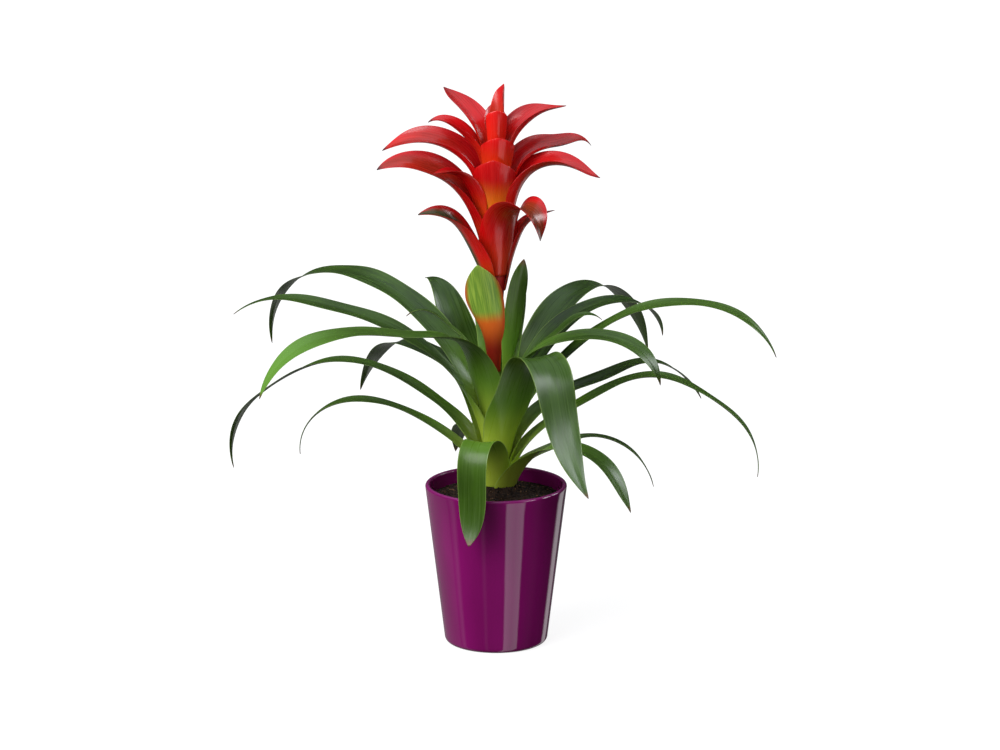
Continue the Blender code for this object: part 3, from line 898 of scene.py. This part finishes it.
def blade_notes(tree):
    """The notes stored on a blade: its flat sheet, distances to foot, tip and margin, side."""
    sheet = node(tree, "ShaderNodeAttribute", {"attribute_name": "sheet"}).outputs["Vector"]
    zone = node(tree, "ShaderNodeAttribute", {"attribute_name": "zone"}).outputs["Vector"]
    side = node(tree, "ShaderNodeAttribute", {"attribute_name": "side"}).outputs["Vector"]
    from_foot, from_tip, margin = node(tree, "ShaderNodeSeparateXYZ", None, {0: zone}).outputs
    under, tone, warm = node(tree, "ShaderNodeSeparateXYZ", None, {0: side}).outputs
    return sheet, from_foot, from_tip, margin, under, tone, warm


def age_notes(tree):
    """How dry a blade's tip is and how deep its colour."""
    age = node(tree, "ShaderNodeAttribute", {"attribute_name": "age"}).outputs["Vector"]
    dry, deep, _ = node(tree, "ShaderNodeSeparateXYZ", None, {0: age}).outputs
    return dry, deep


def veins(tree, sheet, spacing, length):
    """Noise drawn out along the blade into fine parallel lines."""
    drawn = node(tree, "ShaderNodeMapping", None,
                 {0: sheet, "Scale": (1 / (spacing * MM), 1 / (length * MM), 1)})
    return node(tree, "ShaderNodeTexNoise", None,
                {"Vector": drawn.outputs[0], "Scale": 1.0, "Detail": 3.0}).outputs[0]


def raise_veins(tree, shader, lines, strength, depth):
    """A relief of vein lines; the depth is in millimetres."""
    relief = node(tree, "ShaderNodeBump", None,
                  {"Strength": strength, "Distance": depth * MM, "Height": lines})
    tree.links.new(relief.outputs[0], shader.inputs["Normal"])


def shade_in(tree, first, second, value, low, high, bottom=0.0, top=1.0):
    """The colour that goes from first to second as a value is carried through a window."""
    return blend_colours(tree, window(tree, value, low, high, bottom, top), first, second)


def leaf_finish():
    """Waxy green leaf skin."""
    made, tree, shader = finish("waxy_leaf_skin", IOR=1.38, Coat_Weight=0.05, Coat_Roughness=0.2)
    sheet, from_foot, from_tip, margin, under, tone, warm = blade_notes(tree)
    lines = veins(tree, sheet, VEIN_SPACING, VEIN_LENGTH)
    blotches = veins(tree, sheet, BLOTCH / 3, BLOTCH)
    dark = shade_in(tree, colour("#192D06"), colour("#29430A"), blotches, 0.35, 0.65)
    blade_green = blend_colours(tree, tone, dark, colour("#4A6F1A"))
    lower = blend_colours(tree, under, blade_green, colour("#385214"))
    streaked = shade_in(tree, lower, colour("#54732E"), lines, 0.45, 0.75, 0.0, 0.30)
    sheath = shade_in(tree, colour("#A9BE3E"), colour("#66912E"), from_foot, 0.10, 0.70)
    coloured = shade_in(tree, sheath, streaked, from_foot, 0.42, 1.25)
    bright_end = times(tree, warm, window(tree, from_tip, 0.2, 1.3, 1.0, 0.0))
    ended = blend_colours(tree, bright_end, coloured, colour("#5C8A30"))
    # The pale margin line is a painted highlight along the rounded edge.
    edged = shade_in(tree, ended, colour("#7E9A4A"), margin, 0.93, 1.0, 0.0, 0.6)
    tipped = shade_in(tree, edged, colour("#5E4326"), from_tip, 0.02, 0.10, 1.0, 0.0)
    tree.links.new(tipped, shader.inputs["Base Color"])
    tree.links.new(window(tree, lines, 0.3, 0.7, 0.26, 0.40), shader.inputs["Roughness"])
    raise_veins(tree, shader, lines, 0.35, LEAF_VEIN_DEPTH)
    return made


leaf_skin = leaf_finish()
for name, spec in LEAVES.items():
    leaf = blade(name, spec, *LEAF_GRID, LEAF_THICKNESS)
    finish_piece(leaf, name.replace("leaf_", "strap_"), leaf_skin, "leaf_green", name)
print(len(LEAVES), "leaves")

# %% [markdown]
# ## Bract skin
#
# Bracts are coloured by red plant dye under the same wax, thicker and glossier than a leaf. The
# outside is bright scarlet and the inside a deeper crimson, which is partly the bract's own
# colour and partly painted shade for the hollow of its channel. The foot runs to orange, and the
# tip dries to dark maroon. The lowest ones still turn green on their inner side, and one of them
# along its keel too.

# %% Bract finish
def bract_finish():
    """Glossy scarlet bract skin."""
    made, tree, shader = finish("glossy_bract_skin", IOR=1.42,
                                Coat_Weight=0.25, Coat_Roughness=0.14)
    sheet, from_foot, from_tip, margin, under, tone, warm = blade_notes(tree)
    dry, deep = age_notes(tree)
    lines = veins(tree, sheet, VEIN_SPACING * 0.8, VEIN_LENGTH / 2)
    blotches = veins(tree, sheet, BLOTCH / 3, BLOTCH)
    bright = shade_in(tree, colour("#D8080E"), colour("#EE1414"), blotches, 0.3, 0.7)
    plain = blend_colours(tree, deep, bright, colour("#A60910"))
    keel = times(tree, window(tree, tone, 0.85, 1.0), window(tree, margin, 0.20, 0.55, 1.0, 0.0))
    keel = times(tree, keel, window(tree, from_foot, 0.12, 0.35))
    outside = blend_colours(tree, keel, plain, colour("#2C4014"))
    # The deeper crimson inside is partly the bract's own colour, partly painted shade in the
    # channel.
    inside = shade_in(tree, colour("#A80A14"), colour("#CC1018"), blotches, 0.3, 0.7)
    flesh = window(tree, margin, 0.40, 0.95, 1.0, 0.0)
    heart = times(tree, times(tree, tone, flesh), window(tree, from_foot, 0.35, 0.80))
    inner = blend_colours(tree, heart, inside, colour("#333D15"))
    red = blend_colours(tree, under, inner, outside)
    streaked = shade_in(tree, red, colour("#EE3028"), lines, 0.5, 0.8, 0.0, 0.3)
    glow = times(tree, warm, window(tree, from_foot, 0.14, 0.46, 1.0, 0.0))
    flamed = blend_colours(tree, glow, streaked, colour("#F08A1C"))
    dried = times(tree, dry, window(tree, from_tip, 0.01, 0.09, 1.0, 0.0))
    tipped = blend_colours(tree, dried, flamed, colour("#35141A"))
    tree.links.new(tipped, shader.inputs["Base Color"])
    tree.links.new(window(tree, lines, 0.3, 0.7, 0.24, 0.34), shader.inputs["Roughness"])
    raise_veins(tree, shader, lines, 0.3, BRACT_VEIN_DEPTH)
    return made


def green_bract_finish():
    """A bract that is green at its end, orange below and dark red at its foot."""
    made, tree, shader = finish("half_green_bract_skin", IOR=1.45, Roughness=0.36,
                                Coat_Weight=0.15, Coat_Roughness=0.2)
    sheet, from_foot, from_tip, margin, _, _, _ = blade_notes(tree)
    lines = veins(tree, sheet, VEIN_SPACING, VEIN_LENGTH / 2)
    green = shade_in(tree, colour("#6E9433"), colour("#9DBB48"), lines, 0.35, 0.7)
    orange = shade_in(tree, colour("#7E170D"), colour("#D8641E"), from_foot, 0.20, 0.52)
    body = shade_in(tree, orange, green, from_foot, 0.46, 0.60)
    edged = shade_in(tree, body, colour("#D8401F"), margin, 0.70, 0.98, 0.0, 0.9)
    green_end = shade_in(tree, edged, green, from_tip, 0.06, 0.30, 1.0, 0.0)
    tree.links.new(green_end, shader.inputs["Base Color"])
    raise_veins(tree, shader, lines, 0.3, BRACT_VEIN_DEPTH)
    return made


red_skin = bract_finish()
green_skin = green_bract_finish()
for name, spec in BRACTS.items():
    green = name == "bract_green_front"
    petal = blade(name, spec, *BRACT_GRID, BRACT_THICKNESS)
    finish_piece(petal, name.replace("bract_", "petal_"), green_skin if green else red_skin,
                 "bract_green" if green else "bract_red", name)
print(len(BRACTS), "bracts")
